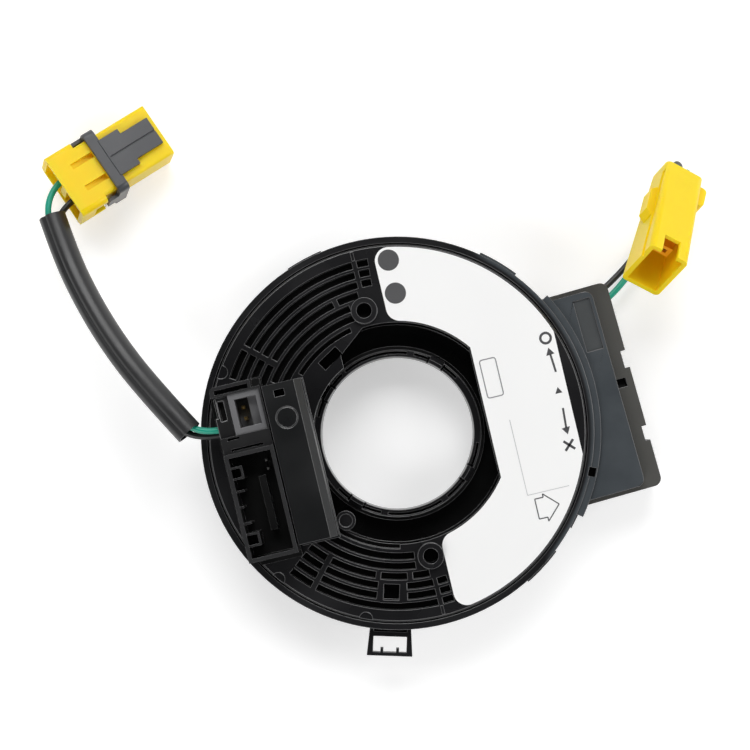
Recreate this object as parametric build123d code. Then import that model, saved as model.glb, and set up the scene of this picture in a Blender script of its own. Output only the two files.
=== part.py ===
from build123d import *
import math
import os

# Steering clock spring, lying on its back. Millimetres, +Z up.
# The origin is on the bore axis in the plane of the back face, and +X points at the fixed side box.

# Reel: the bore and the sleeve that snaps the two halves together
BORE_R = 20.5
SLEEVE_WALL = 1.0
SLEEVE_TOP = 12.6
SLEEVE_RIM_H = 1.2
SLEEVE_RIM_OUT = 0.7
FLANGE_OUT = 4.0
FLANGE_Z = 0.5
FLANGE_T = 1.0
CLAW_ANGLES = (48, 137, 226, 317)
CLAW_SPAN = 12
CLAW_HEIGHT = 6.5
CLAW_SLIT = 0.6
CLAW_OUT = 1.3
CLAW_H = 1.0
SLOT_SPANS = ((30, 65), (70, 117), (120, 155), (210, 245), (250, 290), (295, 340))
SLOT_W = 0.7
SLOT_SHIFT = 0.05

# Reel: turning plate, its drum and its recess
PLATE_TOP = 21.0
PLATE_T = 3.4
PLATE_GAP = 0.4
PLATE_EDGE = 0.4
DRUM_IN = 29.3
DRUM_WALL = 1.5
ROTOR_BOTTOM = 4.0
RECESS_DEPTH = 12.4
RECESS_FLOOR = 1.4
COLLAR_WALL = 1.0
COLLAR_GAP = 0.1
RIGHT_CHORD = 23.5
UPPER_CHORD = 24.4
UPPER_CHORD_ANGLE = 128.7
LEFT_CHORD = 20.9
LOWER_EAR = (-18.6, -19.3)
LOWER_EAR_R = 2.6
UPPER_WEB = 9.8
WINDOW_CENTRE = (-12.7, 23.3)
WINDOW_SIZE = (6.2, 2.7)
WINDOW_TURN = 31

# Grooves in the plate
GROOVE_MARGIN = 4.1
GROOVE_PITCH = 2.65
GROOVE_W = 1.85
INNER_GROOVE_W = 1.3
GROOVE_DEPTH = 2.6
GROOVE_RINGS = 7
OUTER_RINGS = 4
POCKET_W = 4.2
POCKET_WALL = 0.8
POCKET_DEPTH = 4.0
POCKET_R = 42.0
POCKET_ANGLE = 254.5
RIDGE_ANGLES = (91, 271)
RIDGE_W = 0.7
RIDGE_H = 0.25
RIDGE_L = 2.4
DISC_MARKS = ((-19.4, -45.7), (-39.5, -30.2), (-41.6, 26.4))
DISC_MARK_R = 1.75
DISC_MARK_DEPTH = 0.3

# Drive bosses
BOSS_PCD = 67.0
BOSS_ANGLES = (91.9, 271.9)
BOSS_R = 3.45
BOSS_HOLE_R = 2.0
BOSS_H = 1.6
BOSS_DEPTH = 5.2
BOSS_FLOOR = 1.2

# Fixed half: ring, ledge, back cover
RING_IN = 50.3
RING_WALL = 1.7
RING_TOP = 20.4
LEDGE_W = 1.7
LEDGE_T = 1.3
LEDGE_GAP = 0.4
LUGS = ((46, 12, 0.8), (105, 11, 0.5), (304, 12, 0.6), (321.5, 7, 0.6))
LUG_TOP = 18.0
COVER_T = 1.6
COVER_GAP = 0.1
COVER_STEP_R = 27.6
LIP_IN = 23.3
LIP_Z = 1.9
LIP_T = 1.5
HOOK_T = 0.7
HOOK_H = 5.0
HOOK_BARB = 0.5
SHEET_T = 0.2
SHEET_GAP = 0.1

# Fixed half: side box with its socket for the column harness
BOX_TURN = 2.4
BOX_RIGHT = 64.4
BOX_LOW = -32.2
BOX_HIGH = 23.9
BOX_STEP_X = 59.7
BOX_INSET = 1.2
BOX_TOP = 18.2
BOX_FLANGE_TOP = 15.6
BAND_OUT = 1.9
BAND_TOP = 19.6
BOX_CORNER = 2.2
SOCKET_LEFT = 55.6
SOCKET_WALL = 1.6
SOCKET_DEPTH = 12.6
HEADER_T = 2.0
HEADER_GAP = 0.05
PIN_COUNT = 9
PIN_PITCH = 4.4
PIN_SIZE = 0.9
PIN_LENGTH = 7.0
PANEL_CENTRE = (56.5, 13.9)
PANEL_SIZE = (4.5, 14.0)
PANEL_DEPTH = 0.5
FLANGE_WINDOW = (59.9, 62.4, -4.5, -2.2)
BAND_WINDOW = (51.5, 53.5, 2.4)
BAND_WINDOW_ANGLE = -24.6
BAND_WINDOW_DEPTH = 5.0
NOTCHES = ((0.3, 4.9), (-19.8, -15.9))
NOTCH_DEPTH = 1.3
WIRE_BAY = (57.5, 16.0)
WIRE_BAY_TOP = 7.6

# Fixed half: latch tab
TAB_ANGLE = 254.6
TAB_ROOT_W = 10.9
TAB_TIP_W = 12.2
TAB_LENGTH = 7.4
TAB_Z = 12.6
TAB_T = 3.0
TAB_RIM = 1.0
TAB_BAR = 1.3
TAB_SLOT = 0.9
TOOTH_W = 0.8
TOOTH_L = 1.2

# Ribbon
RIBBON_T = 0.35
RIBBON_LOW = 2.4
RIBBON_W = 12.6
RIBBON_IN_GAP = 1.4
RIBBON_OUT_GAP = 1.8
RIBBON_HALF_TURNS = 7
ANCHOR_L = 6.5
ANCHOR_LIFT = 0.6
ANCHOR_GRIP = 1.1
ANCHOR_PAD_T = 0.9
ANCHOR_REST = 1.0

# Connector block on the turning plate
BLOCK_TOP = 33.0
BLOCK_LEFT = -45.1
BLOCK_RIGHT = -32.0
BIG_LOW = -24.0
BIG_HIGH = 4.6
BLOCK_WALL = 1.0
BLOCK_FLOOR = 1.6
FOOT_H = 1.5
FOOT_OUT = 1.6
KEY_TOWERS = ((-0.5, 3.4, 2.9), (-18.2, 3.6, 3.3))
KEY_WALL = 0.55
KEY_DROP = 0.8
RIB_PLACES = ((-5.3, 2.1), (-9.4, 1.0), (-13.8, 2.0))
RIB_T = 0.6
RIB_DROP = 0.6
BLADE_X = (-37.8, -36.0)
BLADE_Y = (-17.0, -2.6)
BLADE_DROP = 5.0
SWITCH_PINS = 2
SWITCH_PITCH = 2.3
SWITCH_FIRST = 1.2
SWITCH_X = -34.9
SWITCH_PIN = 0.64
SWITCH_PIN_L = 6.0
PIN_SLOT = 1.0
PIN_ROOT = 0.8
BRIDGE_HIGH = 9.0
BRIDGE_TOP = 31.4
BRIDGE_SLOT_DEPTH = 4.4
SMALL_HIGH = 19.8
SMALL_TOP = 31.6
HOOK_HIGH = 22.5
HOOK_CORNER = 1.5
HOOK_BAR = 0.9
HOOK_GAP_DEPTH = 5.6

# Lid over the block's terminals
LID_LEFT = -31.6
LID_RIGHT = -21.2
LID_LOW = -22.3
LID_HIGH = 19.9
LID_TOP = 32.0
LID_BEVEL = 1.9
LID_WALL = 1.2
LID_LIP_H = 1.4
LID_LIP_OUT = 0.35
LID_WINDOW = (-27.4, 17.3, 2.7, 1.8)
LID_WINDOW_DEPTH = 5.0
LID_CIRCLE = (-26.9, 10.6, 2.9)
LID_CIRCLE_W = 0.3
LID_CIRCLE_DEPTH = 0.25

# Small socket: grey collar, gold pins, and the holder that the lead leaves
COLLAR_LEFT = -40.9
COLLAR_OPEN = (-39.3, -33.6, 10.7, 18.2)
COLLAR_TOP = 31.0
COLLAR_DEPTH = 7.6
AIRBAG_PIN = 0.9
AIRBAG_PINS_Y = (12.9, 15.9)
AIRBAG_PIN_X = -37.6
AIRBAG_PIN_L = 4.6
HOLDER_RIGHT = -41.1
HOLDER_TOP = 30.4

# Label on the plate
LABEL_T = 0.12
LABEL_RIM = 0.7
LABEL_LEFT = 4.6
LABEL_RIGHT = 46.3
LABEL_CORNER = 3.6
LABEL_INSET = 0.4

# Wires and the tube of the left lead
WIRE_D = 1.7
WIRE_SIDES = 8
WIRE_HOLE_R = 1.0
LEFT_WIRE_DEPTH = 5.6
RIGHT_WIRE_DEPTH = 4.0
BAY_WIRE_DEPTH = 2.4
TUBE_D = 7.2
TUBE_SIDES = 12
HOLE_DEPTH = 2.6

# Left plug with its sprung lock sleeve
LEFT_REAR = (-72.3, 83.4)
LEFT_YAW = 21.0
LEFT_PITCH = 15.0
FLOOR_GAP = 0.1
LEFT_L = 30.3
LEFT_BACK_L = 8.0
LEFT_BACK_W = 18.6
LEFT_CORE_W = 15.4
LEFT_CORE_H = 11.0
LEFT_MOUTH_L = 10.5
LEFT_WALL = 1.3
WIRE_SPREAD = 3.1
TOP_GROOVE_W = 1.6
TOP_GROOVE_START = 4.8
TOP_GROOVE_SPREAD = 3.4
TOP_GROOVE_DEPTH = (0.6, 1.8)
SLEEVE_X = 11.6
SLEEVE_BAND = 3.2
SLEEVE_OUT_W = 18.8
SLEEVE_OUT_H = 13.6
SLEEVE_GAP = 0.2
WING_BACK = 2.9
WING_H = 5.4
WING_T = 1.0
TONGUE_T = 1.3
TONGUE_WIDE = 11.0
TONGUE_NARROW = 8.0
TONGUE_STEP = 20.6
TONGUE_END = 29.0
SEAM_W = 0.4
SEAM_DEPTH = 0.4
LOCK_TRAVEL = 3.2
SPRING_R = 0.5
SPRING_WIRE = 0.14
SPRING_TURNS = 3
SPRING_POCKET = 3.0
SPRING_POCKET_R = 0.72
SPRING_Z = -3.8
CONTACT_OUT = 1.5
CONTACT_W = 1.7
CLIP_T = 0.12
CLIP_W = 7.2

# Right plug
RIGHT_REAR = (89.5, 49.9, 9.0)
RIGHT_YAW = -121.3
RIGHT_PITCH = -36.0
RIGHT_ROLL = -14.0
RIGHT_L = 35.0
RIGHT_W = 11.2
RIGHT_MOUTH_H = 16.4
RIGHT_REAR_H = 9.0
RIGHT_MOUTH_L = 13.0
RIGHT_WALL = 1.3
RIGHT_EDGE_R = 1.4
RIGHT_REAR_EDGE = 1.0
RIGHT_SPREAD = 2.1
STOP_EAR = (2.2, 8.6, 2.5)
LEVER_EAR = (10.0, 20.0, 1.8)
SLIT_W = 4.6
SLIT_L = 6.0
CARRIER_GAP = 0.1
CARRIER_NOSE = 5.0
CARRIER_NOSE_H = 3.4
RIGHT_CONTACT_W = 1.1

# Routes of the cords, chosen by hand: x, y, z
TUBE_ROUTE = (
    (-52.9, 12.7, 27.0),
    (-61.4, 27.6, 25.9),
    (-67.8, 41.6, 22.8),
    (-72.2, 54.6, 18.8),
    (-75.0, 66.4, 15.8),
    (-76.3, 77.6, 14.4),
)
ROTOR_GREEN_ROUTE = ((-42.7, 11.4, 27.6), (-50.6, 11.4, 27.6), (-53.3, 15.4, 27.5))
ROTOR_BLACK_ROUTE = ((-42.7, 10.2, 25.2), (-52.4, 10.2, 25.2), (-54.9, 14.2, 25.6))
PLUG_GREEN_ROUTE = ((-77.2, 75.3, 15.0),)
PLUG_BLACK_ROUTE = ((-75.5, 75.3, 13.6),)
LEFT_APPROACHES = (5.0, 3.2)
RIGHT_GREEN_ROUTE = (
    (70.6, 31.4, 4.2),
    (79.4, 40.2, 2.2),
    (86.6, 46.2, 1.2),
    (92.6, 50.2, 1.3),
)
RIGHT_BLACK_ROUTE = (
    (69.6, 33.0, 1.6),
    (76.6, 41.0, 1.1),
    (83.4, 47.6, 1.0),
    (88.2, 52.8, 1.2),
    (90.6, 55.6, 3.0),
)
RIGHT_APPROACHES = (4.5, 4.5)

# Where the wires pass into the holder and out of the side box: y, z
HOLDER_HOLES = ((11.4, 27.6), (10.2, 25.2))
BAY_HOLES = ((17.5, 5.2), (20.2, 3.4))
BAY_WIRE_OUT = (4.5, 3.0)

FACE_UP = (0, 0, 1)


def polar(radius, angle):
    turn = math.radians(angle)
    return (radius * math.cos(turn), radius * math.sin(turn))


def block(x0, x1, y0, y1, z0, z1):
    middle = Pos((x0 + x1) / 2, (y0 + y1) / 2, (z0 + z1) / 2)
    return middle * Box(x1 - x0, y1 - y0, z1 - z0)


def disc(radius, z0, z1, x=0.0, y=0.0):
    return Pos(x, y, (z0 + z1) / 2) * Cylinder(radius, z1 - z0)


def ring(inner, outer, z0, z1):
    return disc(outer, z0, z1) - disc(inner, z0 - 1, z1 + 1)


def sector(inner, outer, a0, a1, z0, z1):
    middle = (a0 + a1) / 2
    outside = ThreePointArc(polar(outer, a0), polar(outer, middle), polar(outer, a1))
    end = Line(polar(outer, a1), polar(inner, a1))
    inside = ThreePointArc(polar(inner, a1), polar(inner, middle), polar(inner, a0))
    start = Line(polar(inner, a0), polar(outer, a0))
    face = make_face([outside, end, inside, start])
    return Pos(0, 0, z0) * extrude(face, z1 - z0, dir=FACE_UP)


def turned(points):
    face = make_face(Plane.XZ * Polyline(*points, close=True))
    return revolve(face, Axis.Z)


def half_plane(distance, angle, z0, z1, reach=60.0):
    slab = block(distance, distance + reach, -reach, reach, z0, z1)
    return Rot(0, 0, angle) * slab


def cord_route(points, name):
    radii = []
    for before, here, after in zip(points, points[1:], points[2:]):
        run_in = Vector(*here) - Vector(*before)
        run_out = Vector(*after) - Vector(*here)
        half_turn = math.radians(run_in.get_angle(run_out)) / 2
        shorter = min(run_in.length, run_out.length)
        radii.append(0.45 * shorter / math.tan(half_turn))
    print(name, "arc radii", [round(radius, 1) for radius in radii])
    return FilletPolyline(*points, radius=radii)


def cord(points, diameter, name, sides=WIRE_SIDES):
    path = cord_route(points, name)
    start = Plane(origin=path @ 0, z_dir=path % 0)
    slice_angle = 2 * math.pi / sides
    corner_r = diameter / 2 * math.sqrt(slice_angle / math.sin(slice_angle))
    rod = sweep(start * RegularPolygon(corner_r, sides), path=path)
    expected = math.pi * diameter**2 / 4 * path.length
    print(name, "length", round(path.length, 1), "volume ratio", round(rod.volume / expected, 4))
    return rod


def plug_place(rear, yaw, pitch, roll=0.0):
    return Pos(*rear) * Rot(0, 0, yaw) * Rot(0, pitch, 0) * Rot(roll, 0, 0)


def along_x(radius, x0, x1, y=0.0, z=0.0):
    return Pos((x0 + x1) / 2, y, z) * Rot(0, 90, 0) * Cylinder(radius, x1 - x0)


def world(place, x, y, z):
    spot = (place * Pos(x, y, z)).position
    return (spot.X, spot.Y, spot.Z)


# Sizes that follow from the driving dimensions
SLEEVE_R = BORE_R + SLEEVE_WALL
RIM_R = SLEEVE_R + SLEEVE_RIM_OUT
COLLAR_IN = RIM_R + COLLAR_GAP
COLLAR_OUT = COLLAR_IN + COLLAR_WALL
COLLAR_Z = SLEEVE_TOP + SLEEVE_RIM_H - 0.05
PLATE_R = RING_IN - PLATE_GAP
PLATE_LOW = PLATE_TOP - PLATE_T
GROOVE_OUTER = PLATE_R - GROOVE_MARGIN
GROOVE_Z = PLATE_TOP - GROOVE_DEPTH
RECESS_Z = PLATE_TOP - RECESS_DEPTH
RING_OUT = RING_IN + RING_WALL
BAND_R = RING_OUT + BAND_OUT
TAB_TIP_R = RING_OUT + TAB_LENGTH
LEDGE_TOP = PLATE_LOW - LEDGE_GAP
LIP_TOP = LIP_Z + LIP_T
SOCKET_RIGHT = BOX_RIGHT - SOCKET_WALL
SOCKET_LOW = BOX_LOW + SOCKET_WALL
SOCKET_HIGH = WIRE_BAY[1] - SOCKET_WALL
HEADER_LOW = SOCKET_DEPTH - HEADER_T
RIBBON_TOP = RIBBON_LOW + RIBBON_W
ANCHOR_PAD = DRUM_IN + DRUM_WALL + ANCHOR_PAD_T
RIBBON_START = ANCHOR_PAD + RIBBON_IN_GAP
RIBBON_END = RING_IN - RIBBON_OUT_GAP
ANCHOR_END = SOCKET_LEFT - ANCHOR_REST
ANCHOR_LOW = RIBBON_LOW + ANCHOR_LIFT
BLOCK_BASE = PLATE_TOP + BLOCK_FLOOR
SPRING_Y = LEFT_CORE_W / 2 + SPRING_R + SPRING_WIRE
BOX_PLACE = Rot(0, 0, BOX_TURN)
RIGHT_CORE_H = RIGHT_REAR_H - 2 * RIGHT_WALL
LEFT_NOSE_DROP = LEFT_L * math.sin(math.radians(LEFT_PITCH))
LEFT_HALF_RISE = LEFT_CORE_H / 2 * math.cos(math.radians(LEFT_PITCH))
LEFT_Z = LEFT_NOSE_DROP + LEFT_HALF_RISE + FLOOR_GAP
LEFT_PLACE = plug_place((LEFT_REAR[0], LEFT_REAR[1], LEFT_Z), LEFT_YAW, LEFT_PITCH)
RIGHT_PLACE = plug_place(RIGHT_REAR, RIGHT_YAW, RIGHT_PITCH, RIGHT_ROLL)


def beside_claws(a0, a1):
    clear = CLAW_SPAN / 2 + 1.0
    for angle in CLAW_ANGLES:
        if a0 < angle < a1:
            return ((a0, angle - clear), (angle + clear, a1))
    return ((a0, a1),)


def rotor_sleeve():
    rim_top = SLEEVE_TOP + SLEEVE_RIM_H
    claw_top = rim_top + CLAW_H
    flange_r = SLEEVE_R + FLANGE_OUT
    sleeve = turned(
        (
            (BORE_R, 0),
            (SLEEVE_R, 0),
            (SLEEVE_R, FLANGE_Z),
            (flange_r, FLANGE_Z),
            (flange_r, FLANGE_Z + FLANGE_T),
            (SLEEVE_R, FLANGE_Z + FLANGE_T),
            (SLEEVE_R, SLEEVE_TOP),
            (RIM_R, SLEEVE_TOP),
            (RIM_R, rim_top),
            (SLEEVE_R + CLAW_OUT, rim_top),
            (SLEEVE_R, claw_top),
            (BORE_R, claw_top),
        )
    )
    half = CLAW_SPAN / 2
    for angle, following in zip(CLAW_ANGLES, CLAW_ANGLES[1:] + (CLAW_ANGLES[0] + 360,)):
        sleeve -= sector(BORE_R - 4, RIM_R + 6, angle + half, following - half, rim_top, claw_top + 1)
    middle = SLEEVE_R + SLOT_SHIFT
    for span in SLOT_SPANS:
        for a0, a1 in beside_claws(*span):
            sleeve -= sector(middle - SLOT_W / 2, middle + SLOT_W / 2, a0, a1, SLEEVE_TOP - 1, rim_top + 3)
    for angle in CLAW_ANGLES:
        for side in (-1, 1):
            slit_low = claw_top - CLAW_HEIGHT
            slit = block(BORE_R - 1, RIM_R + 3, -CLAW_SLIT / 2, CLAW_SLIT / 2, slit_low, claw_top + 1)
            sleeve -= Rot(0, 0, angle + side * half) * slit
    return sleeve


def recess_opening(z0, z1):
    opening = disc(DRUM_IN, z0, z1)
    opening -= half_plane(RIGHT_CHORD, 0, z0 - 1, z1 + 1)
    opening -= half_plane(UPPER_CHORD, UPPER_CHORD_ANGLE, z0 - 1, z1 + 1)
    opening -= half_plane(LEFT_CHORD, 180, z0 - 1, z1 + 1)
    opening -= disc(LOWER_EAR_R, z0 - 1, z1 + 1, *LOWER_EAR)
    opening -= block(-DRUM_IN - 1, -UPPER_WEB, 0, DRUM_IN + 1, z0 - 1, z1 + 1)
    return opening + disc(COLLAR_IN, z0, z1)


def groove_spans(index):
    if index == 0:
        return ((86.5, 90.2), (91.8, 136.6), (138.3, 148.5), (219, 227.2), (229, 270.2), (271.8, 275.5))
    if index in (1, 2):
        lower = ((219, 227.2), (229, 249.4), (260.2, 270.2), (271.8, 275.5))
        return ((86.5, 90.2), (91.8, 136.4), (138.4, 148.5)) + lower
    if index < OUTER_RINGS:
        lower = ((219, 227.0), (229.2, 248.0), (250.0, 260.6), (262.8, 269.6))
        return ((92.6, 101.2), (103.2, 136.0), (138.6, 148.5)) + lower
    if index == GROOVE_RINGS - 1:
        return ((101, 135.5), (222, 258))
    return ((97.5, 144.5), (218.5, 264.5))


def cut_grooves(plate):
    for index in range(GROOVE_RINGS):
        middle = GROOVE_OUTER - GROOVE_PITCH * index
        width = GROOVE_W if index < GROOVE_RINGS - 1 else INNER_GROOVE_W
        for a0, a1 in groove_spans(index):
            inner = middle - width / 2
            plate -= sector(inner, middle + width / 2, a0, a1, GROOVE_Z, PLATE_TOP + 1)
    return plate


def square_pocket(plate):
    place = Pos(*polar(POCKET_R, POCKET_ANGLE), 0) * Rot(0, 0, POCKET_ANGLE)
    floor = PLATE_TOP - POCKET_DEPTH
    half = POCKET_W / 2
    outer = half + POCKET_WALL
    plate += place * block(-outer, outer, -outer, outer, floor - POCKET_WALL, PLATE_TOP)
    return plate - place * block(-half, half, -half, half, floor, PLATE_TOP + 1)


def drive_boss(angle):
    x, y = polar(BOSS_PCD / 2, angle)
    return disc(BOSS_R, PLATE_TOP - BOSS_DEPTH, PLATE_TOP + BOSS_H, x, y)


def drive_hole(angle):
    x, y = polar(BOSS_PCD / 2, angle)
    return disc(BOSS_HOLE_R, PLATE_TOP - BOSS_DEPTH + BOSS_FLOOR, PLATE_TOP + BOSS_H + 1, x, y)


def rotor_plate():
    plate = disc(PLATE_R, PLATE_LOW, PLATE_TOP)
    plate = chamfer(plate.edges().group_by(Axis.Z)[-1], PLATE_EDGE)
    plate -= recess_opening(PLATE_LOW - 1, PLATE_TOP + 1)
    drum = ring(DRUM_IN, DRUM_IN + DRUM_WALL, ROTOR_BOTTOM, PLATE_LOW)
    floor = ring(COLLAR_IN, DRUM_IN + 0.5, RECESS_Z - RECESS_FLOOR, RECESS_Z)
    collar = ring(COLLAR_IN, COLLAR_OUT, ROTOR_BOTTOM, COLLAR_Z)
    pad = block(-ANCHOR_PAD, -DRUM_IN - 0.3, 0, ANCHOR_L, ROTOR_BOTTOM, PLATE_LOW)
    plate += drum + floor + collar + pad
    plate = square_pocket(cut_grooves(plate))
    place = Pos(*WINDOW_CENTRE, 0) * Rot(0, 0, WINDOW_TURN)
    wide, high = WINDOW_SIZE
    plate -= place * block(-wide / 2, wide / 2, -high / 2, high / 2, PLATE_LOW - 1, PLATE_TOP + 1)
    for angle in BOSS_ANGLES:
        plate += drive_boss(angle)
    for angle in BOSS_ANGLES:
        plate -= drive_hole(angle)
    for angle in RIDGE_ANGLES:
        rim = PLATE_R - PLATE_EDGE - 0.2
        ridge = block(rim - RIDGE_L, rim, -RIDGE_W / 2, RIDGE_W / 2, PLATE_TOP, PLATE_TOP + RIDGE_H)
        plate += Rot(0, 0, angle) * ridge
    for x, y in DISC_MARKS:
        plate -= disc(DISC_MARK_R, PLATE_TOP - DISC_MARK_DEPTH, PLATE_TOP + 1, x, y)
    plate -= disc(DISC_MARK_R, PLATE_TOP - DISC_MARK_DEPTH, PLATE_TOP + 1, *LOWER_EAR)
    return plate


def connector_block():
    foot_top = PLATE_TOP + FOOT_H
    foot = block(BLOCK_LEFT - 1, BLOCK_RIGHT + 0.3, BIG_LOW - FOOT_OUT, HOOK_HIGH + 0.4, PLATE_TOP, foot_top)
    foot &= disc(PLATE_R - 0.2, PLATE_TOP - 1, PLATE_TOP + FOOT_H + 1)
    body = block(BLOCK_LEFT, BLOCK_RIGHT, BIG_LOW, BIG_HIGH, PLATE_TOP + 0.4, BLOCK_TOP)
    body += block(BLOCK_LEFT, BLOCK_RIGHT, BIG_HIGH, BRIDGE_HIGH, PLATE_TOP + 0.4, BRIDGE_TOP)
    bracket = block(BLOCK_LEFT, BLOCK_RIGHT, BRIDGE_HIGH, HOOK_HIGH, PLATE_TOP + 0.4, SMALL_TOP)
    corner = bracket.edges().filter_by(Axis.Z).group_by(Axis.X)[0].sort_by(Axis.Y)[-1]
    body += fillet(corner, HOOK_CORNER)
    body += foot
    left = BLOCK_LEFT + BLOCK_WALL
    right = BLOCK_RIGHT - BLOCK_WALL
    low = BIG_LOW + BLOCK_WALL
    high = BIG_HIGH - BLOCK_WALL
    body -= block(left, right, low, high, BLOCK_BASE, BLOCK_TOP + 1)
    for middle, tall, deep in KEY_TOWERS:
        top = BLOCK_TOP - KEY_DROP
        tower = block(left, left + deep, middle - tall / 2, middle + tall / 2, BLOCK_BASE - 0.1, top)
        y0 = middle - tall / 2 + KEY_WALL
        y1 = middle + tall / 2 - KEY_WALL
        body += tower
        body -= block(left, left + deep - KEY_WALL, y0, y1, BLOCK_BASE + 1, top + 1)
    rib_top = BLOCK_TOP - KEY_DROP - RIB_DROP
    for y, long in RIB_PLACES:
        body += block(left - 0.1, left + long, y - RIB_T / 2, y + RIB_T / 2, BLOCK_BASE - 0.1, rib_top)
    body += block(*BLADE_X, *BLADE_Y, BLOCK_BASE - 0.1, BLOCK_TOP - BLADE_DROP)
    body -= bridge_slots()
    body -= small_socket_bay()
    body -= hook_gap()
    low_pin = pin_y(SWITCH_PINS - 1) - PIN_SLOT / 2
    high_pin = pin_y(0) + PIN_SLOT / 2
    x0 = SWITCH_X - PIN_SLOT / 2
    body -= block(x0, x0 + PIN_SLOT, low_pin, high_pin, BLOCK_BASE - PIN_ROOT, BLOCK_BASE)
    return body


def pin_y(index):
    return SWITCH_FIRST - SWITCH_PITCH * index


def bridge_slots():
    low = BRIDGE_TOP - BRIDGE_SLOT_DEPTH
    top = BRIDGE_TOP + 1
    upper = block(BLOCK_LEFT + 1.7, BLOCK_LEFT + 5.0, BRIDGE_HIGH - 0.9, BRIDGE_HIGH - 0.3, low, top)
    lower = block(BLOCK_LEFT + 2.2, BLOCK_RIGHT - 2.4, BIG_HIGH + 0.6, BIG_HIGH + 1.2, low, top)
    return upper + lower


def small_socket_bay():
    right = BLOCK_RIGHT - 0.5
    bay = block(COLLAR_LEFT, right, BRIDGE_HIGH, SMALL_HIGH, PLATE_TOP + FOOT_H, SMALL_TOP + 1)
    bay += block(BLOCK_LEFT - 1, COLLAR_LEFT, BRIDGE_HIGH, SMALL_HIGH, PLATE_TOP + FOOT_H, SMALL_TOP + 1)
    return bay


def hook_gap():
    low = SMALL_TOP - HOOK_GAP_DEPTH
    top = SMALL_TOP + 1
    gap = block(BLOCK_LEFT + 1.2, BLOCK_RIGHT - 3.0, SMALL_HIGH + 0.6, HOOK_HIGH - HOOK_BAR, low, top)
    step = block(BLOCK_RIGHT - 2.2, BLOCK_RIGHT + 1, SMALL_HIGH + 0.6, HOOK_HIGH + 1, low, top)
    return gap + step


def switch_pins():
    half = SWITCH_PIN / 2
    low = BLOCK_BASE - PIN_ROOT
    pins = []
    for index in range(SWITCH_PINS):
        y = pin_y(index)
        pin = block(SWITCH_X - half, SWITCH_X + half, y - half, y + half, low, BLOCK_BASE + SWITCH_PIN_L)
        pins.append(chamfer(pin.edges().group_by(Axis.Z)[-1], 0.2))
    return Compound(children=pins)


def block_cover():
    shell = block(LID_LEFT, LID_RIGHT, LID_LOW, LID_HIGH, PLATE_TOP, LID_TOP)
    edge = shell.edges().filter_by(Axis.Y).group_by(Axis.X)[-1].sort_by(Axis.Z)[-1]
    shell = chamfer(edge, LID_BEVEL)
    inner = block(
        LID_LEFT + LID_WALL,
        LID_RIGHT - LID_WALL,
        LID_LOW + LID_WALL,
        LID_HIGH - LID_WALL,
        PLATE_TOP - 1,
        LID_TOP - LID_BEVEL - LID_WALL * 0.4,
    )
    shell -= inner
    x, y, wide, high = LID_WINDOW
    low = LID_TOP - LID_WINDOW_DEPTH
    shell -= block(x - wide / 2, x + wide / 2, y - high / 2, y + high / 2, low, LID_TOP + 1)
    x, y, radius = LID_CIRCLE
    circle = ring(radius - LID_CIRCLE_W, radius, LID_TOP - LID_CIRCLE_DEPTH, LID_TOP + 1)
    shell -= Pos(x, y, 0) * circle
    right = LID_RIGHT + LID_LIP_OUT
    lip = block(LID_LEFT + 0.5, right, LID_LOW - 0.8, LID_HIGH + 0.2, PLATE_TOP, PLATE_TOP + LID_LIP_H)
    return shell + lip - inner


def airbag_collar():
    low = PLATE_TOP + FOOT_H
    right = BLOCK_RIGHT - 0.5
    frame = block(COLLAR_LEFT, right, BRIDGE_HIGH, SMALL_HIGH, low, COLLAR_TOP)
    x0, x1, y0, y1 = COLLAR_OPEN
    frame -= block(x0, x1, y0, y1, COLLAR_TOP - COLLAR_DEPTH, COLLAR_TOP + 1)
    frame += block(x1 - 2.4, x1 + 0.1, y0 - 0.1, y1 + 0.1, low, COLLAR_TOP - 3.2)
    for y in AIRBAG_PINS_Y:
        half = AIRBAG_PIN / 2
        x = AIRBAG_PIN_X
        frame -= block(x - half, x + half, y - half, y + half, COLLAR_TOP - COLLAR_DEPTH - 0.6, COLLAR_TOP)
    return frame


def airbag_pins():
    half = AIRBAG_PIN / 2
    low = COLLAR_TOP - COLLAR_DEPTH - 0.6
    x = AIRBAG_PIN_X
    pins = []
    for y in AIRBAG_PINS_Y:
        pin = block(x - half, x + half, y - half, y + half, low, low + AIRBAG_PIN_L)
        pins.append(chamfer(pin.edges().group_by(Axis.Z)[-1], 0.25))
    return Compound(children=pins)


def lead_holder():
    low = PLATE_TOP + FOOT_H
    body = block(BLOCK_LEFT, HOLDER_RIGHT, BRIDGE_HIGH + 0.1, SMALL_HIGH - 0.1, low, HOLDER_TOP)
    body -= block(BLOCK_LEFT + 1.3, BLOCK_LEFT + 2.9, 13.4, 18.6, HOLDER_TOP - 3, HOLDER_TOP + 1)
    body -= block(BLOCK_LEFT - 1, BLOCK_LEFT + 0.9, 14.4, SMALL_HIGH + 1, low + 2, HOLDER_TOP + 1)
    for y, z in HOLDER_HOLES:
        body -= along_x(WIRE_HOLE_R, BLOCK_LEFT - 1, BLOCK_LEFT + HOLE_DEPTH, y, z)
    return body


def label():
    radius = PLATE_R - LABEL_RIM
    side = 3 * radius
    face = Circle(radius)
    right_cut = Pos(RIGHT_CHORD + LABEL_INSET + side / 2, 0) * Rectangle(side, side)
    face -= Circle(DRUM_IN + LABEL_INSET) - right_cut
    face -= Pos(LABEL_LEFT - side / 2, 0) * Rectangle(side, side)
    face -= Pos(LABEL_RIGHT + side / 2, 0) * Rectangle(side, side)
    face = fillet(face.vertices().group_by(Axis.X)[0], LABEL_CORNER)
    return Pos(0, 0, PLATE_TOP) * extrude(face, LABEL_T, dir=FACE_UP)


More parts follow.
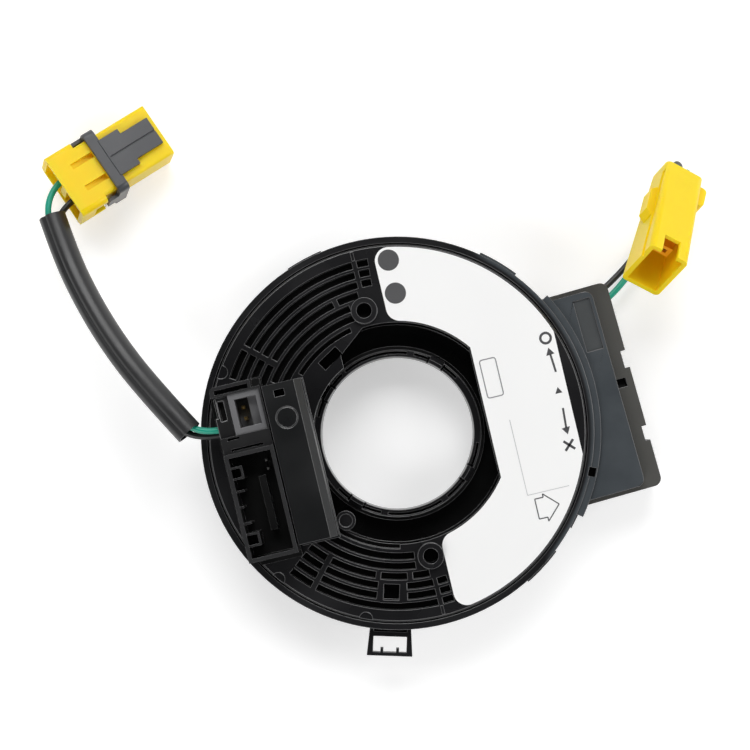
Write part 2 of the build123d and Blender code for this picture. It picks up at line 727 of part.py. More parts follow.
def inner_anchor():
    left = -RIBBON_START - ANCHOR_GRIP
    return block(left, -ANCHOR_PAD, 0, ANCHOR_L, ANCHOR_LOW, RIBBON_TOP)


def outer_anchor():
    return block(RIBBON_END - ANCHOR_GRIP, ANCHOR_END, 0, ANCHOR_L, ANCHOR_LOW, RIBBON_TOP)


def flat_ribbon():
    step = (RIBBON_END - RIBBON_START) / RIBBON_HALF_TURNS
    edges = []
    for offset in (-RIBBON_T / 2, RIBBON_T / 2):
        for index in range(RIBBON_HALF_TURNS):
            side = -1 if index % 2 == 0 else 1
            near = RIBBON_START + step * index + offset
            far = near + step
            start = (side * near, 0)
            stop = (-side * far, 0)
            middle = (side * (near - far) / 2, side * (near + far) / 2)
            edges.append(ThreePointArc(start, middle, stop))
    half = RIBBON_T / 2
    edges.append(Line((-RIBBON_START + half, 0), (-RIBBON_START - half, 0)))
    edges.append(Line((RIBBON_END - half, 0), (RIBBON_END + half, 0)))
    face = make_face(edges)
    return Pos(0, 0, RIBBON_LOW) * extrude(face, RIBBON_W, dir=FACE_UP)


def rounded_box_outline(z1, right, inset):
    outline = block(RING_IN - 12, right, BOX_LOW + inset, BOX_HIGH - inset, 0, z1)
    corners = outline.edges().filter_by(Axis.Z).group_by(Axis.X)[-1]
    return fillet(corners, BOX_CORNER)


def side_box():
    box = rounded_box_outline(BOX_TOP, BOX_STEP_X, BOX_INSET)
    box += rounded_box_outline(BOX_FLANGE_TOP, BOX_RIGHT, 0)
    for low, high in NOTCHES:
        box -= block(BOX_RIGHT - NOTCH_DEPTH, BOX_RIGHT + 1, low, high, -1, BOX_FLANGE_TOP + 1)
    low_angle = math.degrees(math.asin(BOX_LOW / BAND_R))
    high_angle = math.degrees(math.asin(BOX_HIGH / BAND_R))
    band = sector(RING_IN + 0.5, BAND_R, low_angle - 1, high_angle + 3, 0, BAND_TOP)
    return BOX_PLACE * box + band


def cut_side_box(case):
    cuts = block(SOCKET_LEFT, SOCKET_RIGHT, SOCKET_LOW, SOCKET_HIGH, -1, SOCKET_DEPTH)
    x, y = WIRE_BAY
    cuts += block(x, BOX_RIGHT + 1, y, BOX_HIGH + 1, -1, WIRE_BAY_TOP)
    for wire_y, wire_z in BAY_HOLES:
        cuts += along_x(WIRE_HOLE_R, x - HOLE_DEPTH, x + 0.5, wire_y, wire_z)
    wide, high = PANEL_SIZE
    px, py = PANEL_CENTRE
    panel_low = BOX_TOP - PANEL_DEPTH
    cuts += block(px - wide / 2, px + wide / 2, py - high / 2, py + high / 2, panel_low, BOX_TOP + 1)
    cuts += block(*FLANGE_WINDOW, SOCKET_DEPTH - 0.1, BOX_TOP + 1)
    case -= BOX_PLACE * cuts
    x0, x1, across = BAND_WINDOW
    band_window = block(x0, x1, -across / 2, across / 2, BAND_TOP - BAND_WINDOW_DEPTH, BAND_TOP + 1)
    return case - Rot(0, 0, BAND_WINDOW_ANGLE) * band_window


def latch_tab():
    half_root = TAB_ROOT_W / 2
    half_tip = TAB_TIP_W / 2
    root = RING_OUT - 0.8
    corners = ((root, -half_root), (TAB_TIP_R, -half_tip), (TAB_TIP_R, half_tip), (root, half_root))
    tab = extrude(make_face(Polyline(*corners, close=True)), TAB_T, dir=FACE_UP)
    inner_bar = RING_OUT + TAB_SLOT + TAB_BAR
    outer_edge = TAB_TIP_R - TAB_RIM
    tab -= block(inner_bar, outer_edge, -half_root + TAB_RIM, half_root - TAB_RIM, -1, TAB_T + 1)
    tab -= block(RING_OUT, RING_OUT + TAB_SLOT, -half_root + TAB_RIM, half_root - TAB_RIM, 0.8, TAB_T + 1)
    for y in (-2.1, 2.1):
        tab += block(outer_edge - TOOTH_L, outer_edge + 0.1, y - TOOTH_W / 2, y + TOOTH_W / 2, 0.6, TAB_T)
    return Rot(0, 0, TAB_ANGLE) * Pos(0, 0, TAB_Z) * tab


def stator_case():
    case = ring(RING_IN, RING_OUT, 0, RING_TOP)
    case += side_box() - disc(RING_IN, -1, BAND_TOP + 5)
    for angle, span, out in LUGS:
        a0 = angle - span / 2
        a1 = angle + span / 2
        case += sector(RING_IN + 0.6, RING_OUT + out, a0, a1, 0, LUG_TOP)
    case += latch_tab()
    case += ring(RING_IN - LEDGE_W, RING_IN + 0.2, LEDGE_TOP - LEDGE_T, LEDGE_TOP)
    for angle, span, out in LUGS:
        a0 = angle - span / 2 + 1.0
        a1 = angle + span / 2 - 1.0
        case -= sector(RING_IN - 0.5, RING_IN + HOOK_T + HOOK_BARB, a0, a1, HOOK_H - 1.2, HOOK_H + 0.6)
    case = cut_side_box(case)
    case -= block(RING_IN - LEDGE_W - 0.3, ANCHOR_END, 0, ANCHOR_L, ANCHOR_LOW, RIBBON_TOP)
    return case


def base_cover():
    outer = RING_IN - COVER_GAP
    cover = turned(
        (
            (LIP_IN, LIP_Z),
            (COVER_STEP_R, LIP_Z),
            (COVER_STEP_R, 0),
            (outer, 0),
            (outer, COVER_T),
            (COVER_STEP_R + 1.0, COVER_T),
            (COVER_STEP_R + 1.0, LIP_TOP),
            (LIP_IN, LIP_TOP),
        )
    )
    for angle, span, out in LUGS:
        a0 = angle - span / 2 + 1.5
        a1 = angle + span / 2 - 1.5
        cover += sector(outer - HOOK_T - 0.5, outer - 0.1, a0, a1, COVER_T - 0.3, HOOK_H)
        cover += sector(outer - HOOK_T, outer + HOOK_BARB, a0, a1, HOOK_H - 0.8, HOOK_H + 0.2)
    return cover


def slide_sheet():
    low = COVER_T + SHEET_GAP
    return ring(COVER_STEP_R + 1.4, RING_IN - HOOK_T - 1.2, low, low + SHEET_T)


def header_pin_y(index):
    middle = (SOCKET_LOW + SOCKET_HIGH) / 2
    return middle + PIN_PITCH * (index - (PIN_COUNT - 1) / 2)


def box_floor():
    x0 = SOCKET_LEFT + HEADER_GAP
    x1 = SOCKET_RIGHT - HEADER_GAP
    return block(x0, x1, SOCKET_LOW + HEADER_GAP, SOCKET_HIGH - HEADER_GAP, HEADER_LOW, SOCKET_DEPTH)


def column_pins():
    middle = (SOCKET_LEFT + SOCKET_RIGHT) / 2
    half = PIN_SIZE / 2
    pins = []
    for index in range(PIN_COUNT):
        y = header_pin_y(index)
        low = HEADER_LOW - PIN_LENGTH
        pin = block(middle - half, middle + half, y - half, y + half, low, HEADER_LOW)
        pins.append(chamfer(pin.edges().group_by(Axis.Z)[0], 0.25))
    return Compound(children=pins)


def left_plug():
    half_w = LEFT_CORE_W / 2
    half_h = LEFT_CORE_H / 2
    back = block(0, LEFT_BACK_L, -LEFT_BACK_W / 2, LEFT_BACK_W / 2, -half_h, half_h)
    back = fillet(back.edges().filter_by(Axis.X), 1.6)
    core = block(LEFT_BACK_L - 1, LEFT_L, -half_w, half_w, -half_h, half_h)
    core = fillet(core.edges().filter_by(Axis.X), 1.0)
    plug = back + core
    for side in (-1, 1):
        plug -= top_groove(side * TOP_GROOVE_SPREAD)
        slot = block(
            LEFT_BACK_L - LOCK_TRAVEL - 0.4,
            LEFT_BACK_L + 1,
            half_w,
            LEFT_BACK_W / 2 + 1,
            -WING_H / 2 - 0.3,
            WING_H / 2 + 0.3,
        )
        plug -= slot if side > 0 else mirror(slot, Plane.XZ)
        pocket_x = LEFT_BACK_L - SPRING_POCKET
        plug -= along_x(SPRING_POCKET_R, pocket_x, LEFT_BACK_L + 1, side * SPRING_Y, SPRING_Z)
    wall = LEFT_WALL
    mouth = LEFT_L - LEFT_MOUTH_L
    plug -= block(mouth, LEFT_L + 1, -half_w + wall, half_w - wall, -half_h + wall, half_h - wall)
    plug -= block(-1, 1.6, -LEFT_BACK_W / 2 + 1.6, LEFT_BACK_W / 2 - 1.6, -4.6, 4.6)
    plug += block(0.4, 1.6, -1.1, 1.1, -4.7, 4.7)
    for side in (-1, 1):
        plug -= along_x(WIRE_HOLE_R, -1, 6, side * WIRE_SPREAD)
        plug -= along_x(1.3, 5, mouth + 1, side * WIRE_SPREAD)
    return plug


def top_groove(y):
    top = LEFT_CORE_H / 2
    shallow, deep = TOP_GROOVE_DEPTH
    corners = (
        (TOP_GROOVE_START, top + 1),
        (TOP_GROOVE_START, top - shallow),
        (SLEEVE_X, top - deep),
        (SLEEVE_X, top + 1),
    )
    face = make_face(Plane.XZ * Polyline(*corners, close=True))
    return Pos(0, y, 0) * extrude(face, TOP_GROOVE_W / 2, both=True)


def box_contact(half, x0, x1, y):
    bore = half * 0.6
    body = block(x0, x1, y - half, y + half, -half, half)
    return body - block(x1 - 4.5, x1 + 1, y - bore, y + bore, -bore, bore)


def left_plug_contacts():
    front = LEFT_L - LEFT_MOUTH_L + CONTACT_OUT
    contacts = [box_contact(CONTACT_W / 2, 6.2, front, side * WIRE_SPREAD) for side in (-1, 1)]
    return Compound(children=contacts)


def shorting_clip():
    mouth = LEFT_L - LEFT_MOUTH_L
    low = -LEFT_CORE_H / 2 + LEFT_WALL
    foot = low + 0.1
    corners = ((mouth, foot), (mouth + 7.5, foot), (mouth + 8.2, foot + 0.8), (mouth + 4.0, foot + 2.2))
    strip = Polyline(*corners)
    profile = make_face(Plane.XZ * offset(strip, amount=CLIP_T, side=Side.LEFT))
    return extrude(profile, CLIP_W / 2, both=True)


def sleeve_wing(side):
    inner = SLEEVE_OUT_W / 2 - WING_T
    wing = block(SLEEVE_X - WING_BACK, SLEEVE_X + 0.5, inner, SLEEVE_OUT_W / 2, -WING_H / 2, WING_H / 2)
    return wing if side > 0 else mirror(wing, Plane.XZ)


def lock_sleeve():
    half_w = LEFT_CORE_W / 2 + SLEEVE_GAP
    half_h = LEFT_CORE_H / 2 + SLEEVE_GAP
    front = SLEEVE_X + SLEEVE_BAND
    band = block(SLEEVE_X, front, -SLEEVE_OUT_W / 2, SLEEVE_OUT_W / 2, -half_h - 1.1, SLEEVE_OUT_H / 2)
    band = fillet(band.edges().filter_by(Axis.X), 1.8)
    band -= block(SLEEVE_X - 1, front + 1, -half_w, half_w, -half_h, half_h)
    top = half_h + TONGUE_T
    tongue = block(front - 0.5, TONGUE_STEP, -TONGUE_WIDE / 2, TONGUE_WIDE / 2, half_h, top)
    tongue += block(TONGUE_STEP - 0.5, TONGUE_END, -TONGUE_NARROW / 2, TONGUE_NARROW / 2, half_h, top)
    tongue -= block(front, TONGUE_END + 1, -SEAM_W / 2, SEAM_W / 2, top - SEAM_DEPTH, top + 1)
    return band + tongue + sleeve_wing(-1) + sleeve_wing(1)


def lock_spring(side):
    low = LEFT_BACK_L - SPRING_POCKET + 0.1
    high = SLEEVE_X - 0.1
    wire = SPRING_WIRE
    pitch = (high - low - 2 * wire) / SPRING_TURNS
    helix = Helix(pitch, pitch * SPRING_TURNS, SPRING_R)
    section = Plane(origin=helix @ 0, z_dir=helix % 0) * RegularPolygon(wire, 4)
    coil = sweep(section, path=helix, is_frenet=True)
    return Pos(low + wire, side * SPRING_Y, SPRING_Z) * Rot(0, 90, 0) * coil


def right_profile(inset, x0, x1):
    def edge(x):
        share = x / RIGHT_L
        return (RIGHT_REAR_H + (RIGHT_MOUTH_H - RIGHT_REAR_H) * share) / 2 - inset

    corners = ((x0, -edge(x0)), (x1, -edge(x1)), (x1, edge(x1)), (x0, edge(x0)))
    return make_face(Plane.XZ * Polyline(*corners, close=True))


def right_plug():
    shell = extrude(right_profile(0, 0, RIGHT_L), RIGHT_W / 2, both=True)
    long_edges = shell.edges().filter_by(lambda e: abs(e.tangent_at(0.5).X) > 0.8)
    shell = fillet(long_edges, RIGHT_EDGE_R)
    rear_edges = shell.faces().sort_by(Axis.X)[0].edges()
    shell = chamfer(rear_edges, RIGHT_REAR_EDGE)
    wall = RIGHT_WALL
    mouth = RIGHT_L - RIGHT_MOUTH_L
    side_y = RIGHT_W / 2
    shell -= extrude(right_profile(wall, mouth, RIGHT_L + 1), side_y - wall, both=True)
    shell -= block(wall, mouth + 1, wall - side_y, side_y - wall, -RIGHT_CORE_H / 2, RIGHT_CORE_H / 2)
    x0, x1, out = STOP_EAR
    stop = block(x0, x1, side_y - 0.4, side_y + out, -2.0, 2.6)
    shell += fillet(stop.edges().filter_by(Axis.Z).group_by(Axis.Y)[-1], 1.2)
    x0, x1, out = LEVER_EAR
    lever = block(x0, x1, -side_y - out, 0.4 - side_y, -1.6, 2.6)
    shell += chamfer(lever.edges().filter_by(Axis.Z).group_by(Axis.Y)[0], out * 0.8)
    shell -= block(4.0, RIGHT_L + 1, -side_y - 0.2, -side_y + 0.6, 2.8, 4.2)
    roof = RIGHT_MOUTH_H / 2
    shell -= block(RIGHT_L - SLIT_L, RIGHT_L + 1, -SLIT_W / 2, SLIT_W / 2, roof - wall - 1.6, roof + 1)
    for side in (-1, 1):
        shell -= along_x(WIRE_HOLE_R, -1, wall + 1, side * RIGHT_SPREAD)
    return shell


def right_plug_carrier():
    mouth = RIGHT_L - RIGHT_MOUTH_L
    half_w = RIGHT_W / 2 - RIGHT_WALL - CARRIER_GAP
    half_h = RIGHT_CORE_H / 2 - CARRIER_GAP
    half_nose = CARRIER_NOSE_H / 2
    body = block(RIGHT_WALL + 0.1, mouth + 0.5, -half_w, half_w, -half_h, half_h)
    body += block(mouth, mouth + CARRIER_NOSE, 1.2 - half_w, half_w - 1.2, -half_nose, half_nose)
    inner_y = RIGHT_SPREAD * 0.6
    channel = RIGHT_CONTACT_W / 2 + 0.1
    for side in (-1, 1):
        y = side * inner_y
        body -= along_x(WIRE_HOLE_R, 0, 6.1, side * RIGHT_SPREAD)
        body -= block(6, mouth + 8, y - channel, y + channel, -channel, channel)
    return body


def right_plug_contacts():
    front = RIGHT_L - RIGHT_MOUTH_L + CARRIER_NOSE - 0.6
    inner_y = RIGHT_SPREAD * 0.6
    contacts = [box_contact(RIGHT_CONTACT_W / 2, 6.2, front, side * inner_y) for side in (-1, 1)]
    return Compound(children=contacts)


def into_left_plug(route, side, approach):
    outside = world(LEFT_PLACE, -approach, side * WIRE_SPREAD, 0)
    inside = world(LEFT_PLACE, LEFT_WIRE_DEPTH, side * WIRE_SPREAD, 0)
    return route + (outside, inside)


def into_right_plug(route, side, approach):
    outside = world(RIGHT_PLACE, -approach, side * RIGHT_SPREAD, 0)
    inside = world(RIGHT_PLACE, RIGHT_WIRE_DEPTH, side * RIGHT_SPREAD, 0)
    return route + (outside, inside)


def out_of_bay(index, route):
    y, z = BAY_HOLES[index]
    inside = world(BOX_PLACE, WIRE_BAY[0] - BAY_WIRE_DEPTH, y, z)
    outside = world(BOX_PLACE, WIRE_BAY[0] + BAY_WIRE_OUT[index], y, z)
    return (inside, outside) + route


def plug_wires():
    routes = {
        "plug_green_wire": into_left_plug(PLUG_GREEN_ROUTE, 1, LEFT_APPROACHES[0]),
        "plug_black_wire": into_left_plug(PLUG_BLACK_ROUTE, -1, LEFT_APPROACHES[1]),
        "right_green_wire": into_right_plug(out_of_bay(0, RIGHT_GREEN_ROUTE), 1, RIGHT_APPROACHES[0]),
        "right_black_wire": into_right_plug(out_of_bay(1, RIGHT_BLACK_ROUTE), -1, RIGHT_APPROACHES[1]),
    }
    return {name: cord(points, WIRE_D, name) for name, points in routes.items()}


def lead_tube():
    rod = cord(TUBE_ROUTE, TUBE_D, "lead_tube", TUBE_SIDES)
    for route in (ROTOR_GREEN_ROUTE, ROTOR_BLACK_ROUTE):
        rod -= wire_socket(route[-1], route[-2])
    sides = ((PLUG_GREEN_ROUTE, 1), (PLUG_BLACK_ROUTE, -1))
    for (route, side), approach in zip(sides, LEFT_APPROACHES):
        points = into_left_plug(route, side, approach)
        rod -= wire_socket(points[0], points[1])
    return rod


def wire_socket(bottom, outside):
    start = Vector(*bottom)
    way = Vector(*outside) - start
    plane = Plane(origin=start, z_dir=way.normalized())
    return extrude(plane * Circle(WIRE_HOLE_R), way.length + 1)


def main():
    os.makedirs("parts", exist_ok=True)
    nodes = {
        "stator_case": stator_case(),
        "base_cover": base_cover(),
        "slide_sheet": slide_sheet(),
        "outer_anchor": outer_anchor(),
        "box_floor": BOX_PLACE * box_floor(),
        "column_pins": BOX_PLACE * column_pins(),
        "flat_ribbon": flat_ribbon(),
        "rotor_plate": rotor_plate(),
        "rotor_sleeve": rotor_sleeve(),
        "inner_anchor": inner_anchor(),
        "connector_block": connector_block(),
        "block_cover": block_cover(),
        "switch_pins": switch_pins(),
        "airbag_collar": airbag_collar(),
        "airbag_pins": airbag_pins(),
        "lead_holder": lead_holder(),
        "label": label(),
        "rotor_green_wire": cord(ROTOR_GREEN_ROUTE, WIRE_D, "rotor_green_wire"),
        "rotor_black_wire": cord(ROTOR_BLACK_ROUTE, WIRE_D, "rotor_black_wire"),
        "lead_tube": lead_tube(),
        "left_plug": LEFT_PLACE * left_plug(),
        "left_plug_contacts": LEFT_PLACE * left_plug_contacts(),
        "shorting_clip": LEFT_PLACE * shorting_clip(),
        "lock_sleeve": LEFT_PLACE * lock_sleeve(),
        "lock_spring_left": LEFT_PLACE * lock_spring(1),
        "lock_spring_right": LEFT_PLACE * lock_spring(-1),
        "right_plug": RIGHT_PLACE * right_plug(),
        "right_plug_carrier": RIGHT_PLACE * right_plug_carrier(),
        "right_plug_contacts": RIGHT_PLACE * right_plug_contacts(),
    }
    nodes.update(plug_wires())
    for name, solid in nodes.items():
        export_step(solid, f"parts/{name}.step")


main()
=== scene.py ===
import math

import bpy
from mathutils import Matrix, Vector


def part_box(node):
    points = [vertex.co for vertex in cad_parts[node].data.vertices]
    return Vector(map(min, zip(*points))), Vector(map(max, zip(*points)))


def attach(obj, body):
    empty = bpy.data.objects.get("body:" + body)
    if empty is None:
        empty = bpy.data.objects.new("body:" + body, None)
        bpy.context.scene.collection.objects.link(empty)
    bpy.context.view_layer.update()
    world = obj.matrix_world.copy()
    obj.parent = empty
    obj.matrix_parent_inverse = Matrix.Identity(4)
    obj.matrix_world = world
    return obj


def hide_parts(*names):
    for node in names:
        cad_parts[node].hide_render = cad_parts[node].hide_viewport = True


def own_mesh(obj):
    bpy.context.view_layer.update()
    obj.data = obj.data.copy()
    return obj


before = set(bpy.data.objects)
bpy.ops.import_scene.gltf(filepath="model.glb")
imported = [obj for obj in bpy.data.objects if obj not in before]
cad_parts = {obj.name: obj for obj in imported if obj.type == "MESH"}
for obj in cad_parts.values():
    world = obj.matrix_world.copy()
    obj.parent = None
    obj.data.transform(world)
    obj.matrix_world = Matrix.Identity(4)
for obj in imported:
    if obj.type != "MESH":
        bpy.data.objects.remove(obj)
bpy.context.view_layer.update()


# Camera: straight above the bore, 600 mm over the bench, rolled so that the side box points
# right and a little up. The small shift puts the reel right of and below the middle.
camera_data = bpy.data.cameras.new("camera")
camera_data.sensor_width = 36.0
camera_data.lens = 105.3
camera_data.shift_x = -0.030
camera_data.shift_y = 0.0776
camera_data.clip_start = 0.01
camera_data.clip_end = 10.0
camera = bpy.data.objects.new("camera", camera_data)
camera.location = (0.0, 0.0, 0.600)
camera.rotation_euler = (0.0, 0.0, math.radians(-13.35))
bpy.context.scene.collection.objects.link(camera)
bpy.context.scene.camera = camera
bpy.context.scene.view_settings.view_transform = "Standard"


# Bench: a plain pale floor under the part. It shows a little brighter to the camera than it
# is, so that the paper-white ground stays white and still keeps the part's soft shadow.
BENCH_SIZE = 3.0
BENCH_GAP = 0.0001
BENCH_LIFT = 0.40


def deselect():
    """Leaves edit mode and lets go of everything."""
    if bpy.context.object and bpy.context.object.mode != "OBJECT":
        bpy.ops.object.mode_set(mode="OBJECT")
    bpy.ops.object.select_all(action="DESELECT")


def add(tree, kind, inputs, operation=None, data_type=None):
    """Adds one node. Each of its inputs gets a value or the output of another node."""
    node = tree.nodes.new("ShaderNode" + kind)
    if operation:
        node.operation = operation
    if data_type:
        node.data_type = data_type
    for name, value in inputs.items():
        if isinstance(value, bpy.types.NodeSocket):
            tree.links.new(value, node.inputs[name])
        else:
            node.inputs[name].default_value = value
    return node


deselect()
bpy.ops.mesh.primitive_plane_add(size=BENCH_SIZE, location=(0, 0, -BENCH_GAP))
bench = bpy.context.object
bench.name = "bench_floor"
pale_bench = bpy.data.materials.new("pale_bench")
pale_bench.use_nodes = True
tree = pale_bench.node_tree
tree.nodes.clear()
matt = add(tree, "BsdfDiffuse", {"Color": (0.86, 0.86, 0.86, 1)})
ray = add(tree, "LightPath", {}).outputs
seen = add(tree, "Math", {0: ray["Is Camera Ray"], 1: ray["Is Glossy Ray"]}, "MAXIMUM")
amount = add(tree, "Math", {0: seen.outputs[0], 1: BENCH_LIFT}, "MULTIPLY")
lift = add(tree, "Emission", {"Color": (1, 1, 1, 1), "Strength": amount.outputs[0]})
both = add(tree, "AddShader", {0: matt.outputs[0], 1: lift.outputs[0]})
add(tree, "OutputMaterial", {"Surface": both.outputs[0]})
bench.data.materials.append(pale_bench)


# Light: a white tent round the bench that is open overhead, so flat black tops mirror a dark
# ceiling and every rounded edge catches the bright sides, and three softboxes.
def ramp(tree, value, start, end, low=0.0, high=1.0):
    """Turns a value that runs from start to end into one that runs from low to high."""
    inputs = {"Value": value, "From Min": start, "From Max": end, "To Min": low, "To Max": high}
    return add(tree, "MapRange", inputs).outputs["Result"]


tent = bpy.data.worlds.new("light_tent")
tent.use_nodes = True
air = tent.node_tree
way = add(air, "TexCoord", {}).outputs["Generated"]
height = add(air, "SeparateXYZ", {"Vector": way}).outputs["Z"]
glow = air.nodes["Background"].inputs
glow["Color"].default_value = (1, 1, 1, 1)
air.links.new(ramp(air, height, 0.10, 0.88, 0.85, 0.03), glow["Strength"])
bpy.context.scene.world = tent


def softbox(name, place, size, power):
    """One soft lamp that faces the bore."""
    data = bpy.data.lights.new(name, "AREA")
    data.shape = "RECTANGLE"
    data.size = size[0]
    data.size_y = size[1]
    data.energy = power
    lamp = bpy.data.objects.new(name, data)
    lamp.location = place
    lamp.rotation_euler = (-Vector(place)).to_track_quat("-Z", "Y").to_euler()
    bpy.context.scene.collection.objects.link(lamp)


softbox("key_softbox", (0.10, 0.62, 0.75), (0.7, 0.5), 5.0)
softbox("fill_softbox", (-0.50, -0.60, 0.66), (0.5, 0.6), 3.4)
softbox("right_softbox", (0.75, -0.10, 0.50), (0.5, 0.6), 2.6)


# Fixed case: one moulding with the ring wall, the latch tab and the side box for the column
# plug. Glass filled black nylon, polished round the ring and spark eroded matt on the box.
# The box is painted a lighter slate grey as painted sheen, and the rounded edges carry a
# painted highlight.
MM = 0.001
RING_ENDS = (50.8 * MM, 51.6 * MM)
BOX_STARTS = (30.0 * MM, 34.0 * MM)
BOX_STEP = (17.2 * MM, 18.0 * MM)


def dress(node, finish):
    """Gives a piece from the CAD its finish."""
    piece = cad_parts[node]
    piece.data.materials.clear()
    piece.data.materials.append(finish)
    return piece


def round_edges(piece, width, highlight_finish=None, clamp=True):
    """Melts the split faces together and rounds every moulded edge by the given width in mm.
    A lighter finish, where given, goes on the rounded edges alone as a painted highlight."""
    seam = piece.modifiers.new("join", "WELD")
    seam.merge_threshold = 0.01 * MM
    if clamp:
        flat = piece.modifiers.new("flats", "DECIMATE")
        flat.decimate_type = "DISSOLVE"
        flat.angle_limit = math.radians(0.5)
    edge = piece.modifiers.new("edges", "BEVEL")
    edge.width = width * MM
    edge.segments = 2
    edge.limit_method = "ANGLE"
    edge.angle_limit = math.radians(28)
    edge.miter_outer = "MITER_ARC"
    edge.use_clamp_overlap = clamp
    if highlight_finish:
        piece.data.materials.append(highlight_finish)
        edge.material = 1


def noise(tree, place, scale, detail):
    """A cloudy pattern on the piece's own place."""
    inputs = {"Vector": place, "Scale": scale, "Detail": detail}
    return add(tree, "TexNoise", inputs).outputs["Fac"]


def blend(tree, share, first, second):
    """Goes from the first colour to the second as the share rises."""
    inputs = {"Factor": share, "A": first, "B": second}
    return add(tree, "Mix", inputs, data_type="RGBA").outputs["Result"]


def tinted(colour, share):
    """A colour times a share, as a value for a socket."""
    return (*[min(1.0, part * share) for part in colour], 1)


def moulded(
    name, colour, rough, grain=900.0, depth=0.04, tone=0.25, speck=0.10, shine=0.5, floor=None
):
    """A moulded plastic: fine eroded grain of a depth in mm, broad shade drift and uneven
    gloss. Where floor heights are given, pockets are painted darker towards their bottom as
    painted shade."""
    finish = bpy.data.materials.new(name)
    finish.use_nodes = True
    tree = finish.node_tree
    skin = tree.nodes["Principled BSDF"].inputs
    place = add(tree, "TexCoord", {}).outputs["Object"]
    fine = noise(tree, place, grain, 3.0)
    broad = noise(tree, place, 45.0, 4.0)
    bump = add(tree, "Bump", {"Strength": 0.35, "Distance": depth * MM, "Height": fine})
    shade = blend(tree, broad, tinted(colour, 1 - tone), tinted(colour, 1 + tone))
    # Painted shade: below the floor heights the colour drops to 8 percent of itself, darker
    # towards the bottom.
    if floor:
        height = add(tree, "SeparateXYZ", {"Vector": place}).outputs["Z"]
        shade = blend(tree, ramp(tree, height, *floor), tinted(colour, 0.08), shade)
    skin["Specular IOR Level"].default_value = shine
    tree.links.new(bump.outputs["Normal"], skin["Normal"])
    tree.links.new(ramp(tree, broad, 0.3, 0.7, rough - speck, rough + speck), skin["Roughness"])
    tree.links.new(shade, skin["Base Color"])
    return finish


def layers(finish):
    """What a pattern over a finish starts from: its nodes, place, colour and colour socket."""
    tree = finish.node_tree
    socket = tree.nodes["Principled BSDF"].inputs["Base Color"]
    place = tree.nodes["Texture Coordinate"].outputs["Object"]
    return tree, place, socket.links[0].from_socket, socket


case_black = moulded("case_black_nylon", (0.009, 0.009, 0.010), 0.34, shine=0.3)
tree, place, ring_shade, case_colour = layers(case_black)
# Painted sheen: on the side box the black is painted a lighter slate grey with random clouds,
# and a warm grey on the lower flange, for the softbox light its matt face catches.
sides = add(tree, "SeparateXYZ", {"Vector": place}).outputs
flat_place = add(tree, "VectorMath", {0: place, 1: (1, 1, 0)}, "MULTIPLY")
from_axis = add(tree, "VectorMath", {0: flat_place.outputs["Vector"]}, "LENGTH")
past_ring = ramp(tree, from_axis.outputs["Value"], *RING_ENDS)
box_side = ramp(tree, sides["X"], *BOX_STARTS)
box_sheen_mask = add(tree, "Math", {0: past_ring, 1: box_side}, "MULTIPLY").outputs["Value"]
cloud = noise(tree, place, 110.0, 5.0)
box_top_sheen = blend(tree, cloud, (0.036, 0.042, 0.048, 1), (0.074, 0.084, 0.092, 1))
box_sheen = blend(tree, ramp(tree, sides["Z"], *BOX_STEP), (0.078, 0.077, 0.072, 1), box_top_sheen)
tree.links.new(blend(tree, box_sheen_mask, ring_shade, box_sheen), case_colour)
# Painted highlight: a lighter grey on the case's rounded edges, for the light they catch.
case_edge_highlight = moulded("case_painted_edge_highlight", (0.10, 0.10, 0.103), 0.30)
round_edges(dress("stator_case", case_black), 0.12, case_edge_highlight, clamp=False)


# Column header: the black nylon floor that snaps into the side box from below, with a row of
# tinned brass pins pressed through it.
def plated(name, colour, rough):
    """A plated metal with fine drawing marks in its gloss."""
    finish = bpy.data.materials.new(name)
    finish.use_nodes = True
    tree = finish.node_tree
    skin = tree.nodes["Principled BSDF"].inputs
    skin["Metallic"].default_value = 1.0
    place = add(tree, "TexCoord", {}).outputs["Object"]
    marks = noise(tree, place, 1400.0, 2.0)
    tree.links.new(ramp(tree, marks, 0.0, 1.0, rough - 0.08, rough + 0.12), skin["Roughness"])
    tree.links.new(blend(tree, marks, tinted(colour, 0.86), (*colour, 1)), skin["Base Color"])
    return finish


header_black = moulded("header_black", (0.016, 0.016, 0.017), 0.45)
tinned = plated("tinned_brass", (0.78, 0.78, 0.76), 0.28)
dress("box_floor", header_black)
dress("column_pins", tinned)


# Back cover: the black disc that closes the ribbon chamber from below, moulded in the same
# nylon as the case but with the matt face of a part that nobody sees.
cover_black = moulded("cover_black", (0.018, 0.019, 0.020), 0.50)
round_edges(dress("base_cover", cover_black), 0.2)


# Ribbon chamber: a slippery amber film on the floor, the spiral flat cable with its copper
# tracks between two films, and the black block that clamps its outer end to the case.
TRACK_PITCH = 0.9 * MM
TRACK_EDGE = (0.35 * MM, 0.45 * MM)
slide_film = moulded("slide_film", (0.60, 0.52, 0.36), 0.30, grain=300.0, depth=0.01)
dress("slide_sheet", slide_film)
cable_film = moulded("cable_film", (0.55, 0.50, 0.38), 0.35, grain=400.0, depth=0.01)
tree, place, film_shade, film_colour = layers(cable_film)
height = add(tree, "SeparateXYZ", {"Vector": place}).outputs["Z"]
pitch = add(tree, "Math", {0: height, 1: TRACK_PITCH}, "PINGPONG").outputs["Value"]
track = ramp(tree, pitch, *TRACK_EDGE)
tree.links.new(blend(tree, track, film_shade, (0.52, 0.27, 0.13, 1)), film_colour)
dress("flat_ribbon", cable_film)
dress("outer_anchor", header_black)


# Turning plate: the grooved black top with its drum and two drive bosses. Black acetal from
# a polished tool, so it is deeper black and glossier than the case. Its rib edges are painted
# lighter as painted highlight, and its grooves are painted darker towards their bottom as
# painted shade.
# The block that clamps the ribbon's inner end to the drum is moulded in the same black.
PLATE_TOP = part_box("label")[0][2]
